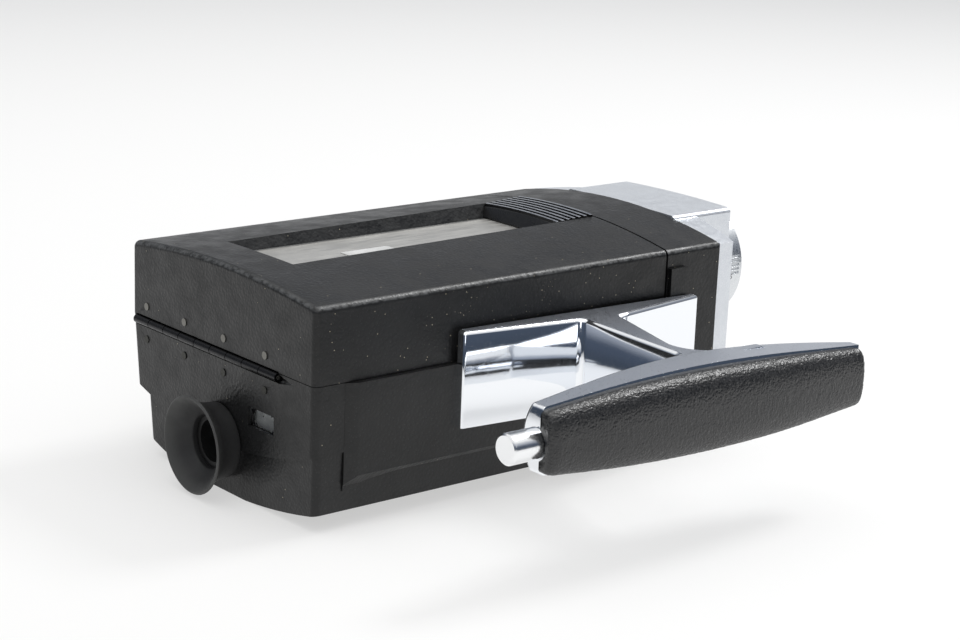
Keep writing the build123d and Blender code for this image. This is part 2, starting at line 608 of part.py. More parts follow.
with BuildPart() as handle_screws:
    for y, z in HANDLE_SCREWS:
        bolt_x(y, z, 1.5, HALF_W - WALL, 50.0)
        bolt_x(y, z, 2.6, HALF_W - WALL - 1.6, HALF_W - WALL)
save(handle_screws, "handle_screws")


# ---------------------------------------------------------------- silver front and lens
SHOULDER_Y0, SHOULDER_Y1 = 79.6, 83.6
HOOD_X0, HOOD_X1 = -23.4, 25.4
HOOD_Z0 = 20.0
HOOD_TOP_Z, HOOD_SIDE_Z = 66.7, 66.4  # middle and sides of the hood's nearly flat top
HOOD_Y = 98.4
HOOD_EDGE_R = 1.5
RING_R = 18.5
RING_Y0, RING_Y1 = 100.8, 112.0
SHADOW_Y, SHADOW_DEPTH = 0.5, 0.8  # groove between the casing and the silver front


def front_outline():
    """Outline of the silver front, a hair inside the casing's."""
    crown = crown_at(FRONT_Y) - 0.3
    with BuildSketch(across(105.0)) as outline:
        with BuildLine():
            Polyline((-45.2, EDGE_Z - 0.3), (-43.0, 21.5), (-39.4, 19.6), (-37.5, 5.4))
            ThreePointArc((-37.5, 5.4), (-26.0, 2.2), (-12.0, 0.3))
            Line((-12.0, 0.3), (12.0, 0.3))
            ThreePointArc((12.0, 0.3), (30.0, 2.4), (44.6, 5.3))
            Line((44.6, 5.3), (45.2, EDGE_Z - 0.3))
            ThreePointArc((45.2, EDGE_Z - 0.3), (0, crown), (-45.2, EDGE_Z - 0.3))
        make_face()
    return outline.sketch


def shoulder():
    """Base of the silver front: swept back from the hood to the casing's edges."""
    with BuildPart() as base:
        with BuildSketch(Plane.XY):
            with BuildLine():
                side_y = SHOULDER_Y0 - 0.2
                Polyline((-46.0, side_y), (-46.0, FRONT_Y), (46.0, FRONT_Y), (46.0, side_y))
                Line((46.0, side_y), (HOOD_X1 - 0.5, SHOULDER_Y1))
                Line((HOOD_X1 - 0.5, SHOULDER_Y1), (HOOD_X0 + 0.5, SHOULDER_Y1))
                Line((HOOD_X0 + 0.5, SHOULDER_Y1), (-46.0, side_y))
            make_face()
        extrude(amount=75.0)
        extrude(front_outline(), amount=40.0, mode=Mode.INTERSECT)
    return base.part


def hood():
    """Square hood around the lens, bowed in front and rounded along its top edges."""
    with BuildPart() as cover:
        with BuildSketch(Plane.XY.offset(HOOD_Z0)):
            with BuildLine():
                Polyline((HOOD_X0, HOOD_Y), (HOOD_X0, FRONT_Y), (HOOD_X1, FRONT_Y), (HOOD_X1, HOOD_Y))
                ThreePointArc((HOOD_X1, HOOD_Y), (LENS_X, HOOD_Y + 1.0), (HOOD_X0, HOOD_Y))
            make_face()
        extrude(amount=55.0)
        with BuildSketch(across(HOOD_Y + 5)):
            with BuildLine():
                low_z, side_z = HOOD_Z0, HOOD_SIDE_Z
                Polyline((HOOD_X0, side_z), (HOOD_X0, low_z), (HOOD_X1, low_z), (HOOD_X1, side_z))
                ThreePointArc((HOOD_X1, side_z), (LENS_X, HOOD_TOP_Z), (HOOD_X0, side_z))
            make_face()
        extrude(amount=60.0, mode=Mode.INTERSECT)
        fillet(cover.edges().filter_by(Axis.Y).filter_by(lambda e: e.center().Z > 60), HOOD_EDGE_R)
    return cover.part


def shadow_groove():
    """Groove round the silver front where it meets the casing."""
    with BuildPart() as groove:
        block(-50.0, 50.0, FRONT_Y - 0.5, FRONT_Y + SHADOW_Y, -1.0, 75.0)
        core = offset(front_outline(), amount=-SHADOW_DEPTH, kind=Kind.INTERSECTION)
        extrude(core, amount=40.0, mode=Mode.SUBTRACT)
    return groove.part


with BuildPart() as front_casting:
    add(shoulder())
    add(hood())
    add(shadow_groove(), mode=Mode.SUBTRACT)
    rod(LENS_X, LENS_Z, 20.0, 83.0, HOOD_Y + 5, mode=Mode.SUBTRACT)
    rod(LENS_X, LENS_Z, BARREL_R, FRONT_Y - 1, 84.0, mode=Mode.SUBTRACT)
    rod(FINDER_X, FINDER_Z, 6.5, FRONT_Y - 1, 90.0, mode=Mode.SUBTRACT)
    block(-27.0, -17.0, FRONT_Y - 1, 90.0, 9.0, 17.0, mode=Mode.SUBTRACT)
    block(28.0, 42.4, FRONT_Y - 1, 77.6, 17.0, 50.0, mode=Mode.SUBTRACT)
    block(-42.0, -28.0, FRONT_Y - 1, 77.6, 26.0, 50.0, mode=Mode.SUBTRACT)
    for x, z in FRONT_SCREWS:
        rod(x, z, 1.5, FRONT_Y - 1, 77.4, mode=Mode.SUBTRACT)
save(front_casting, "front_casting")

with BuildPart() as front_screws:
    for x, z in FRONT_SCREWS:
        rod(x, z, 1.5, FRONT_Y - WALL, 77.2)
        rod(x, z, 2.6, FRONT_Y - WALL - 1.6, FRONT_Y - WALL)
save(front_screws, "front_screws")

with BuildPart() as meter_window:
    block(-27.0, -17.0, 84.0, 85.0, 9.0, 17.0)
save(meter_window, "meter_window")

with BuildPart() as photocell:
    rod(-22.0, 13.0, 3.6, 78.0, 81.0)
    for x in (-23.2, -20.8):
        rod(x, 13.0, 0.4, 70.0, 78.0)
save(photocell, "photocell")

with BuildPart() as viewfinder_front_lens:
    rod(FINDER_X, FINDER_Z, 6.5, 82.0, 84.0)
save(viewfinder_front_lens, "viewfinder_front_lens")


def lens(x, z, radius, y, edge, bulge_rear, bulge_front):
    """Lens with spherical faces: edge is the rim's thickness, centred on y."""
    y0, y1 = y - edge / 2, y + edge / 2
    rear = (radius**2 + bulge_rear**2) / (2 * bulge_rear)
    front = (radius**2 + bulge_front**2) / (2 * bulge_front)
    with BuildPart() as element:
        rod(x, z, radius, y0 - bulge_rear, y1 + bulge_front)
        with Locations((x, y0 - bulge_rear + rear, z)):
            Sphere(rear, rotation=(90, 0, 0), mode=Mode.INTERSECT)
        with Locations((x, y1 + bulge_front - front, z)):
            Sphere(front, rotation=(90, 0, 0), mode=Mode.INTERSECT)
    return element


with BuildPart() as lens_barrel:
    rod(LENS_X, LENS_Z, BARREL_R, 60.0, 108.0)
    rod(LENS_X, LENS_Z, 13.5, 73.2, 109.0, mode=Mode.SUBTRACT)
    rod(LENS_X, LENS_Z, 8.0, 59.0, 72.0, mode=Mode.SUBTRACT)
    rod(LENS_X, LENS_Z, 4.5, 71.0, 74.0, mode=Mode.SUBTRACT)
    rod(LENS_X, LENS_Z + 10.8, 0.6 + RUN, 70.0, 74.0, mode=Mode.SUBTRACT)
save(lens_barrel, "lens_barrel")

with BuildPart() as focus_ring:
    rod(LENS_X, LENS_Z, RING_R, RING_Y0, RING_Y1)
    chamfer(focus_ring.edges().sort_by(Axis.Y)[-1], 0.6)
    rod(LENS_X, LENS_Z, BARREL_R + RUN, RING_Y0 - 1, 108.4, mode=Mode.SUBTRACT)
    rod(LENS_X, LENS_Z, 13.2, 108.0, RING_Y1 + 1, mode=Mode.SUBTRACT)
    rod(LENS_X, LENS_Z, 14.0, 111.0, RING_Y1 + 1, mode=Mode.SUBTRACT)
    # Knurled patches for the fingers.
    for step in range(KNURLS):
        angle = 4.0 * step - 4.0
        for patch in (0.0, 90.0, 180.0, 270.0):
            turn = math.radians(angle + patch)
            x, z = LENS_X + RING_R * math.cos(turn), LENS_Z + RING_R * math.sin(turn)
            rod(x, z, 0.45, 102.6, 110.2, mode=Mode.SUBTRACT)
save(focus_ring, "focus_ring")

save(lens(LENS_X, LENS_Z, 13.2, 109.4, 1.6, 0.4, 0.5), "front_lens")

with BuildPart() as front_retaining_ring:
    rod(LENS_X, LENS_Z, 13.2, 110.3, 111.0)
    rod(LENS_X, LENS_Z, 11.8, 110.0, 112.0, mode=Mode.SUBTRACT)
save(front_retaining_ring, "front_retaining_ring")

save(lens(LENS_X, LENS_Z, 13.5, 90.0, 2.4, 0.9, 0.3), "middle_lens")
save(lens(LENS_X, LENS_Z, 8.0, 65.0, 2.0, 0.8, 0.8), "rear_lens")

with BuildPart() as iris_vane:
    with BuildSketch(across(74.4)):
        with Locations((LENS_X, LENS_Z + 1.0)):
            Circle(8.4)
        with Locations((LENS_X, LENS_Z + 8.5)):
            Rectangle(3.2, 4.6)
        with Locations((LENS_X, LENS_Z + 10.8)):
            Circle(1.6)
        with Locations((LENS_X, LENS_Z)):
            Circle(3.8, mode=Mode.SUBTRACT)
    extrude(amount=0.5)
    rod(LENS_X, LENS_Z + 10.8, 0.6, 72.4, 74.0)
save(iris_vane, "iris_vane")


# ---------------------------------------------------------------- mechanism
CLAW_Z0, CLAW_Z1 = 46.0, 49.0

with BuildPart() as mechanism_frame:
    block(-41.0, 41.5, -62.0, BULKHEAD_Y1, FRAME_Z0, FRAME_Z1)
    block(-41.0, 41.5, BULKHEAD_Y0, BULKHEAD_Y1, FRAME_Z0, 59.4)
    # Rails that guide the claw.
    block(-30.0, -5.0, BULKHEAD_Y1, 27.4, CLAW_Z0 - 0.8, CLAW_Z0 - 0.15)
    block(-30.0, -5.0, BULKHEAD_Y1, 27.4, CLAW_Z1 + 0.15, CLAW_Z1 + 0.8)
    # Aperture, claw slot, bearings and screw holes.
    block(LENS_X - 2.6, LENS_X + 2.6, 20.0, 30.0, LENS_Z - 3.5, LENS_Z + 3.5, mode=Mode.SUBTRACT)
    block(-13.0, -6.4, 20.0, 30.0, 46.7, 48.3, mode=Mode.SUBTRACT)
    rod(SHUTTER_X, SHUTTER_Z, 1.5 + RUN, 20.0, 30.0, mode=Mode.SUBTRACT)
    post(*SPINDLE, 1.5 + RUN, 30.0, 40.0, mode=Mode.SUBTRACT)
    for x, y in FRAME_BOSSES:
        post(x, y, 1.2, 30.0, 40.0, mode=Mode.SUBTRACT)
        post(x, y, 2.2, FRAME_Z1 - 0.8, 40.0, mode=Mode.SUBTRACT)
save(mechanism_frame, "mechanism_frame")

with BuildPart() as mechanism_screws:
    for x, y in FRAME_BOSSES:
        post(x, y, 1.2, 28.0, FRAME_Z1 - 0.8)
        post(x, y, 2.2, FRAME_Z1 - 0.8, FRAME_Z1 - 0.1)
save(mechanism_screws, "mechanism_screws")

with BuildPart() as film_gate:
    block(-14.5, 14.5, 22.8, BULKHEAD_Y0, 37.0, 57.0)
    block(LENS_X - 2.0, LENS_X + 2.0, 20.0, 30.0, LENS_Z - 2.9, LENS_Z + 2.9, mode=Mode.SUBTRACT)
    block(-13.0, -6.4, 20.0, 30.0, 46.7, 48.3, mode=Mode.SUBTRACT)
save(film_gate, "film_gate")

with BuildPart() as claw:
    block(-22.0, -6.6, 25.8, 27.0, CLAW_Z0, CLAW_Z1)
    block(-7.8, -6.8, 22.2, 26.0, 47.1, 47.9)
save(claw, "claw")

with BuildPart() as shutter_disc:
    with BuildSketch(across(26.6)):
        with Locations((SHUTTER_X, SHUTTER_Z)):
            Circle(SHUTTER_R)
            Circle(1.5, mode=Mode.SUBTRACT)
        with Locations((SHUTTER_X + 15.0, SHUTTER_Z)):
            Rectangle(20.0, 45.0, mode=Mode.SUBTRACT)
    extrude(amount=0.5)
save(shutter_disc, "shutter_disc")

with BuildPart() as shutter_shaft:
    rod(SHUTTER_X, SHUTTER_Z, 1.5, BULKHEAD_Y0 + 0.2, 31.2)
    rod(SHUTTER_X, SHUTTER_Z, 2.4, 29.2, 29.8)
save(shutter_shaft, "shutter_shaft")

motor_angle = math.degrees(math.atan2(MOTOR_Z - SHUTTER_Z, MOTOR_X - SHUTTER_X))
pinion_angle = motor_angle + 180.0 + 180.0 / PINION_TEETH

with BuildPart() as shutter_gear:
    with BuildSketch(across(29.2)):
        with BuildLine():
            Polyline(*involute_gear(GEAR_TEETH, motor_angle, SHUTTER_X, SHUTTER_Z), close=True)
        make_face()
        with Locations((SHUTTER_X, SHUTTER_Z)):
            Circle(1.5, mode=Mode.SUBTRACT)
    extrude(amount=2.0)
save(shutter_gear, "shutter_gear")

with BuildPart() as motor_pinion:
    with BuildSketch(across(29.4)):
        with BuildLine():
            Polyline(*involute_gear(PINION_TEETH, pinion_angle, MOTOR_X, MOTOR_Z), close=True)
        make_face()
    extrude(amount=2.4)
    rod(MOTOR_X, MOTOR_Z, 1.0, 29.4, 44.0)
save(motor_pinion, "motor_pinion")

with BuildPart() as motor_bracket:
    block(-11.0, 40.5, 30.0, 31.2, 23.0, 59.0)
    block(10.0, 38.0, 30.0, 31.2, 6.5, 24.0)
    for x, z in BRACKET_POSTS:
        rod(x, z, 1.8, BULKHEAD_Y1, 31.2)
    rod(LENS_X, LENS_Z, 7.0, 20.0, 40.0, mode=Mode.SUBTRACT)
    rod(SHUTTER_X, SHUTTER_Z, 1.5 + RUN, 20.0, 40.0, mode=Mode.SUBTRACT)
    rod(MOTOR_X, MOTOR_Z, 3.0, 20.0, 40.0, mode=Mode.SUBTRACT)
save(motor_bracket, "motor_bracket")

with BuildPart() as motor:
    rod(MOTOR_X, MOTOR_Z, MOTOR_R, 31.2, 58.0)
    rod(MOTOR_X, MOTOR_Z, 3.0, 30.0, 31.2)
    rod(MOTOR_X, MOTOR_Z, 1.0 + RUN, 29.0, 45.0, mode=Mode.SUBTRACT)
    for side in (-5.0, 5.0):
        block(MOTOR_X + side - 0.9, MOTOR_X + side + 0.9, 58.0, 61.0, MOTOR_Z - 0.25, MOTOR_Z + 0.25)
save(motor, "motor")

with BuildPart() as takeup_spindle:
    post(*SPINDLE, 1.5, 29.6, 36.3)
    post(*SPINDLE, 5.5, FRAME_Z1 + 0.2, FRAME_Z1 + 1.0)
    post(*SPINDLE, 2.6, FRAME_Z1 + 1.0, 41.5)
    for turn in (0, 120, 240):
        angle = math.radians(turn)
        x, y = SPINDLE[0] + 2.9 * math.cos(angle), SPINDLE[1] + 2.9 * math.sin(angle)
        post(x, y, 0.7, FRAME_Z1 + 0.9, 41.0)
save(takeup_spindle, "takeup_spindle")

with BuildPart() as clutch_disc:
    post(*SPINDLE, 9.0, 31.0, 33.0)
    post(*SPINDLE, 1.5, 30.0, 34.0, mode=Mode.SUBTRACT)
save(clutch_disc, "clutch_disc")

with BuildPart() as cartridge_spring:
    block(-8.0, 8.0, -60.0, -54.6, FRAME_Z1, FRAME_Z1 + 0.5)
    with BuildSketch(beside(-8.0)):
        with BuildLine():
            ThreePointArc((-55.1, FRAME_Z1 + 0.2), (-52.2, 45.0), (-55.1, 54.0))
            Line((-55.1, 54.0), (-54.6, 54.0))
            ThreePointArc((-54.6, 54.0), (-51.7, 45.0), (-54.6, FRAME_Z1 + 0.2))
            Line((-54.6, FRAME_Z1 + 0.2), (-55.1, FRAME_Z1 + 0.2))
        make_face()
    extrude(amount=16.0)
save(cartridge_spring, "cartridge_spring")

with BuildPart() as counter_dial:
    rod(COUNTER_X, COUNTER_Z, 12.0, -69.8, -69.0)
    rod(COUNTER_X, COUNTER_Z, 1.0, -69.0, -64.8)
save(counter_dial, "counter_dial")


# ---------------------------------------------------------------- viewfinder
with BuildPart() as viewfinder_tube:
    rod(FINDER_X, FINDER_Z, 6.5, -64.0, 80.0)
    rod(FINDER_X, FINDER_Z, 5.5, -65.0, 81.0, mode=Mode.SUBTRACT)
save(viewfinder_tube, "viewfinder_tube")

with BuildPart() as eyepiece_cell:
    rod(FINDER_X, FINDER_Z, CELL_R, -76.0, -64.6)
    rod(FINDER_X, FINDER_Z, 6.0, -77.0, -60.0, mode=Mode.SUBTRACT)
save(eyepiece_cell, "eyepiece_cell")

save(lens(FINDER_X, FINDER_Z, 6.0, -70.5, 2.0, 0.8, 0.8), "eyepiece_lens")

with BuildPart() as eyecup:
    with BuildSketch(Plane((FINDER_X, 0, FINDER_Z), x_dir=(1, 0, 0), z_dir=(0, 0, 1))):
        with BuildLine():
            Polyline((CELL_R, -73.7), (10.7, -73.7), (10.9, -76.5))
            Spline((10.9, -76.5), (11.9, -80.0), (14.0, -82.8))
            Polyline((14.0, -82.8), (13.4, -83.2), (12.9, -82.9))
            Spline((12.9, -82.9), (10.4, -80.4), (7.6, -77.6))
            Polyline((7.6, -77.6), (7.5, -76.0), (CELL_R, -76.0), (CELL_R, -73.7))
        make_face()
    revolve(axis=Axis((FINDER_X, 0, FINDER_Z), (0, 1, 0)))
save(eyecup, "eyecup")


# ---------------------------------------------------------------- batteries
CELL_X = -20.3
BATTERY_R = 7.0
CELL_ROWS = [12.0, 26.2]
CELL_STARTS = [-60.6, -9.6]

with BuildPart() as battery_holder:
    block(HOLDER_X0, HOLDER_X1, HOLDER_Y0, HOLDER_Y1, FLOOR_TOP_Z, 34.4)
    block(HOLDER_X0 + 1, HOLDER_X1 - 1, HOLDER_Y0 + 1, HOLDER_Y1 - 1, 0.0, 33.4, mode=Mode.SUBTRACT)
save(battery_holder, "battery_holder")

with BuildPart() as battery_cells:
    for z in CELL_ROWS:
        for y in CELL_STARTS:
            rod(CELL_X, z, BATTERY_R, y, y + 49.0)
            rod(CELL_X, z, 2.6, y + 49.0, y + 50.4)
save(battery_cells, "battery_cells")

with BuildPart() as battery_contacts:
    for z in CELL_ROWS:
        block(CELL_X - 4, CELL_X + 4, -61.4, -60.8, z - 4, z + 4)
        block(CELL_X - 4, CELL_X + 4, 41.0, 41.4, z - 4, z + 4)
save(battery_contacts, "battery_contacts")
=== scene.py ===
"""Cine camera lying on its flat side: materials, detailed pieces, light and camera."""

import json
import math

import bmesh
import bpy
from mathutils import Matrix, Vector, noise

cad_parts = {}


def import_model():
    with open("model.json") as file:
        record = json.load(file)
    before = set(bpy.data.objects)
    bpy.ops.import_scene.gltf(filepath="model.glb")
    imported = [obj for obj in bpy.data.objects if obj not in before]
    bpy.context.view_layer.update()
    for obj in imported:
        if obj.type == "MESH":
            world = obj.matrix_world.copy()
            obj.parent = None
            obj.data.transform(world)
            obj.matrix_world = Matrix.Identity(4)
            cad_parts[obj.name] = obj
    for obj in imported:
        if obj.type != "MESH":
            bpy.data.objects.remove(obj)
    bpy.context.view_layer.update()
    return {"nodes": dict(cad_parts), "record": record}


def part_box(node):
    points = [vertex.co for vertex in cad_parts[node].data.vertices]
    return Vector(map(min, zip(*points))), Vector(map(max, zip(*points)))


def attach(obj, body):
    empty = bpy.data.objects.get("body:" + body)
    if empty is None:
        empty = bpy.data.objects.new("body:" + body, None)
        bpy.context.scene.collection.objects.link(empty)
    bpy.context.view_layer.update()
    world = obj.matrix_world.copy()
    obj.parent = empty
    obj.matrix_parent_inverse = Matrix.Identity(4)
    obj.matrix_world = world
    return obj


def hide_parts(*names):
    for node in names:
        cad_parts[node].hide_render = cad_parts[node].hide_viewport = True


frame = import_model()
nodes = frame["nodes"]
MM = 0.001
MIX_FIRST, MIX_SECOND, MIX_RESULT = 6, 7, 2  # the colour sockets of a Mix node


# ---------------------------------------------------------------- material helpers
class Look:
    """A material under construction: its node tree, shader and coordinates in the row frame."""

    def __init__(self, name, colour, roughness, metallic=0.0):
        self.material = bpy.data.materials.new(name)
        self.material.use_nodes = True
        self.tree = self.material.node_tree
        self.shader = self.tree.nodes["Principled BSDF"]
        self.shader.inputs["Base Color"].default_value = (*colour, 1.0)
        self.shader.inputs["Roughness"].default_value = roughness
        self.shader.inputs["Metallic"].default_value = metallic
        self.place = self.tree.nodes.new("ShaderNodeTexCoord").outputs["Object"]

    def link(self, source, target):
        self.tree.links.new(source, target)

    def node(self, kind, **values):
        made = self.tree.nodes.new("ShaderNode" + kind)
        for key, value in values.items():
            setattr(made, key, value)
        return made

    def stretched(self, factors):
        """Coordinates scaled by a factor along each axis."""
        mapping = self.node("Mapping")
        mapping.inputs["Scale"].default_value = factors
        self.link(self.place, mapping.inputs["Vector"])
        return mapping.outputs["Vector"]

    def noise(self, scale, detail=3.0, roughness=0.55, place=None):
        made = self.node("TexNoise")
        made.inputs["Scale"].default_value = scale
        made.inputs["Detail"].default_value = detail
        made.inputs["Roughness"].default_value = roughness
        self.link(place or self.place, made.inputs["Vector"])
        return made.outputs["Fac"]

    def cells(self, scale, feature="F1", smoothness=None):
        made = self.node("TexVoronoi", feature=feature)
        made.inputs["Scale"].default_value = scale
        if smoothness is not None:
            made.inputs["Smoothness"].default_value = smoothness
        self.link(self.place, made.inputs["Vector"])
        return made.outputs["Distance"]

    def specks(self, scale, size, share):
        """1 on small dots at the middle of a share of random cells."""
        made = self.node("TexVoronoi")
        made.inputs["Scale"].default_value = scale
        self.link(self.place, made.inputs["Vector"])
        parts = self.node("SeparateXYZ")
        self.link(made.outputs["Color"], parts.inputs[0])
        dots = self.steps(made.outputs["Distance"], size * 0.6, size, 1.0, 0.0)
        chosen = self.steps(parts.outputs["X"], 1.0 - share, 1.0 - share + 0.01)
        return self.math("MULTIPLY", dots, chosen)

    def math(self, operation, first, second=None, clamp=False):
        made = self.node("Math", operation=operation, use_clamp=clamp)
        for socket, value in zip(made.inputs, (first, second)):
            if isinstance(value, (int, float)):
                socket.default_value = value
            elif value is not None:
                self.link(value, socket)
        return made.outputs[0]

    def steps(self, value, low, high, out_low=0.0, out_high=1.0):
        """Smooth step of a value from low to high."""
        made = self.node("MapRange", interpolation_type="SMOOTHSTEP")
        limits = {"From Min": low, "From Max": high, "To Min": out_low, "To Max": out_high}
        for name, number in limits.items():
            made.inputs[name].default_value = number
        self.link(value, made.inputs["Value"])
        return made.outputs["Result"]

    def mix(self, fac, first, second):
        """Colour between two colours or sockets."""
        made = self.node("Mix", data_type="RGBA")
        self.link(fac, made.inputs["Factor"])
        for index, value in ((MIX_FIRST, first), (MIX_SECOND, second)):
            if isinstance(value, tuple):
                made.inputs[index].default_value = (*value, 1.0)
            else:
                self.link(value, made.inputs[index])
        return made.outputs[MIX_RESULT]

    def colour(self, socket):
        self.link(socket, self.shader.inputs["Base Color"])

    def roughness(self, socket):
        self.link(socket, self.shader.inputs["Roughness"])

    def metallic(self, socket):
        self.link(socket, self.shader.inputs["Metallic"])

    def bump(self, height, strength, distance, before=None):
        made = self.node("Bump")
        made.inputs["Strength"].default_value = strength
        made.inputs["Distance"].default_value = distance
        self.link(height, made.inputs["Height"])
        if before is not None:
            self.link(before, made.inputs["Normal"])
        self.link(made.outputs["Normal"], self.shader.inputs["Normal"])
        return made.outputs["Normal"]

    def axes(self):
        """X, Y and Z in the row frame, in metres."""
        made = self.node("SeparateXYZ")
        self.link(self.place, made.inputs[0])
        return made.outputs

    def facing(self):
        """Parts of the surface's normal along X, Y and Z of the piece."""
        made = self.node("SeparateXYZ")
        normal = self.node("TexCoord").outputs["Normal"]
        self.link(normal, made.inputs[0])
        return made.outputs

    def inside(self, socket, low, high, soft):
        """1 where a value lies between low and high, with soft borders."""
        rise = self.steps(socket, low - soft, low + soft)
        fall = self.steps(socket, high - soft, high + soft, 1.0, 0.0)
        return self.math("MULTIPLY", rise, fall)


def grained(look, grain, strength=0.4, depth=0.00007):
    """Fine moulded grain, with pebbles about as wide as grain, in metres."""
    pebbles = look.cells(0.45 / grain, "SMOOTH_F1", 0.6)
    fine = look.noise(0.33 / grain, 2.0)
    height = look.math("ADD", pebbles, look.math("MULTIPLY", fine, 0.6))
    look.bump(height, strength, depth)
    return pebbles


def grained_plastic(name, colour, roughness, grain=0.00035):
    """Moulded plastic with a fine pebbled grain and slightly paler rubbed patches."""
    look = Look(name, colour, roughness)
    grained(look, grain)
    rubbed = tuple(part * 1.8 + 0.003 for part in colour)
    look.colour(look.mix(look.steps(look.noise(45.0, 4.0), 0.35, 0.75), colour, rubbed))
    look.roughness(look.steps(look.noise(160.0, 3.0), 0.3, 0.7, roughness - 0.05, roughness + 0.07))
    return look


# Where the casing's finish changes, in metres: the door's recess, where the painted edge highlight is
# mostly left out, and the scuffed patch by the handle
RECESS_X, RECESS_Y = (-0.027, 0.019), (-0.058, 0.060)
SCUFF_X, SCUFF_Y, SCUFF_Z = (0.0440, 0.0450), (-0.036, 0.024), (0.046, 0.0612)
EDGE_HIGHLIGHT_Z = (0.38, 0.86)  # upward part of the normal on the rounded upper edges, where a highlight is painted


def casing_material():
    """Black grained plastic with a painted highlight along its rounded upper edges, dusty, with a scuffed
    patch beside the handle.
    """
    black, rubbed = (0.0040,) * 3, (0.0095, 0.0097, 0.0100)
    edge_highlight, dust = (0.085, 0.087, 0.088), (0.42, 0.37, 0.27)
    look = Look("casing_plastic", black, 0.4)
    pebbles = grained(look, 0.00040, 0.9, 0.00008)
    cloudy = look.mix(look.steps(look.noise(38.0, 5.0), 0.38, 0.72), black, rubbed)
    raised = look.mix(look.steps(pebbles, 0.25, 0.05, 0.0, 0.30), cloudy, (0.050, 0.052, 0.052))
    rounded = look.inside(look.facing()["Z"], *EDGE_HIGHLIGHT_Z, 0.16)
    place = look.axes()
    across = look.inside(place["X"], *RECESS_X, 0.001)
    lengthwise = look.inside(place["Y"], *RECESS_Y, 0.001)
    recess = look.math("MULTIPLY", across, lengthwise)
    # Painted highlight: pale grey on the partly upward-facing rounded edges, broken into patches, much
    # weaker in the door's recess.
    edge_highlight_mask = look.math("MULTIPLY", rounded, look.math("SUBTRACT", 1.0, look.math("MULTIPLY", recess, 0.8)))
    patchy = look.steps(look.noise(600.0, 3.0), 0.3, 0.65)
    with_edge_highlight = look.mix(look.math("MULTIPLY", edge_highlight_mask, patchy), raised, edge_highlight)
    side = look.steps(place["X"], *SCUFF_X)
    along = look.inside(place["Y"], *SCUFF_Y, 0.014)
    upper = look.inside(place["Z"], *SCUFF_Z, 0.004)
    clusters = look.steps(look.noise(130.0, 3.0), 0.44, 0.62)
    patch = look.math("MULTIPLY", look.math("MULTIPLY", side, along), upper)
    scuffed = look.math("MULTIPLY", patch, clusters)
    many = look.math("MULTIPLY", look.specks(1500.0, 0.36, 0.17), scuffed)
    few = look.specks(900.0, 0.16, 0.030)
    look.colour(look.mix(look.math("MAXIMUM", many, few, clamp=True), with_edge_highlight, dust))
    look.roughness(look.steps(look.noise(150.0, 4.0), 0.3, 0.7, 0.32, 0.46))
    look.shader.inputs["Specular IOR Level"].default_value = 0.42
    return look.material


def satin_metal(name, colour, roughness, grain=1800.0, streak=(1.0, 1.0, 1.0)):
    look = Look(name, colour, roughness, 1.0)
    brushed = look.noise(grain, 3.0, 0.6, look.stretched(streak))
    look.bump(brushed, 0.12, 0.00002)
    look.roughness(look.steps(brushed, 0.3, 0.7, roughness - 0.05, roughness + 0.08))
    look.colour(look.mix(look.noise(60.0, 3.0), tuple(part * 0.88 for part in colour), colour))
    return look


def polished_metal(name, colour, smooth=0.03, scuffed=0.14):
    look = Look(name, colour, 0.05, 1.0)
    look.roughness(look.steps(look.noise(700.0, 5.0), 0.45, 0.8, smooth, scuffed))
    look.bump(look.noise(70.0, 1.0), 0.10, 0.0004)
    look.colour(look.mix(look.noise(90.0, 3.0), tuple(part * 0.92 for part in colour), colour))
    return look


BULGE = 8.0  # swelling of the handle's sides, per metre
BULGE_FRONT = 0.2  # share of it that is left in front of the arm
BULGE_Z = 0.0310
BULGE_Y, BULGE_X = (0.023, 0.029), (0.058, 0.088)  # where the arm ends forwards, and the plate outwards


def handle_material():
    """Polished casting whose top is satin blue-grey and whose sides bulge a little."""
    look = Look("handle_chrome", (0.80, 0.83, 0.87), 0.05, 1.0)
    flat = look.steps(look.facing()["Z"], 0.965, 0.995)
    shiny = look.math("SUBTRACT", 1.0, flat)
    grain = look.noise(2600.0, 3.0)
    look.colour(look.mix(flat, (0.90, 0.92, 0.95), (0.60, 0.63, 0.69)))
    scuffs = look.steps(look.noise(900.0, 4.0), 0.50, 0.85, 0.06, 0.15)
    satin = look.steps(grain, 0.3, 0.7, 0.27, 0.40)
    gloss = look.math("ADD", look.math("MULTIPLY", flat, satin), look.math("MULTIPLY", shiny, scuffs))
    look.roughness(gloss)
    # The bulge of the sides, as a height over the flat walls of the casting.
    place = look.axes()
    offset = look.math("SUBTRACT", place["Z"], BULGE_Z)
    forward, inward = look.steps(place["Y"], *BULGE_Y), look.steps(place["X"], *BULGE_X, 1.0, 0.0)
    front = look.math("MULTIPLY", forward, inward)
    share = look.math("MULTIPLY", look.steps(front, 0.0, 1.0, -BULGE, -BULGE * BULGE_FRONT), shiny)
    bulge = look.math("MULTIPLY", look.math("MULTIPLY", offset, offset), share)
    waves = look.math("MULTIPLY", look.noise(38.0, 1.0), 0.00022)
    wavy = look.bump(look.math("ADD", bulge, waves), 1.0, 1.0)
    look.bump(look.math("MULTIPLY", grain, flat), 0.25, 0.00003, wavy)
    return look.material


def leather_material():
    look = Look("leather", (0.010, 0.010, 0.0105), 0.34)
    creases = look.noise(1500.0, 4.0)
    pores = look.cells(1700.0, "SMOOTH_F1", 0.25)
    look.bump(look.math("SUBTRACT", look.math("MULTIPLY", creases, 0.5), pores), 0.8, 0.00012)
    look.colour(look.mix(look.steps(creases, 0.35, 0.7), (0.006, 0.006, 0.0065), (0.015, 0.015, 0.0155)))
    look.roughness(look.steps(creases, 0.3, 0.7, 0.26, 0.42))
    look.shader.inputs["Specular IOR Level"].default_value = 0.65
    return look.material


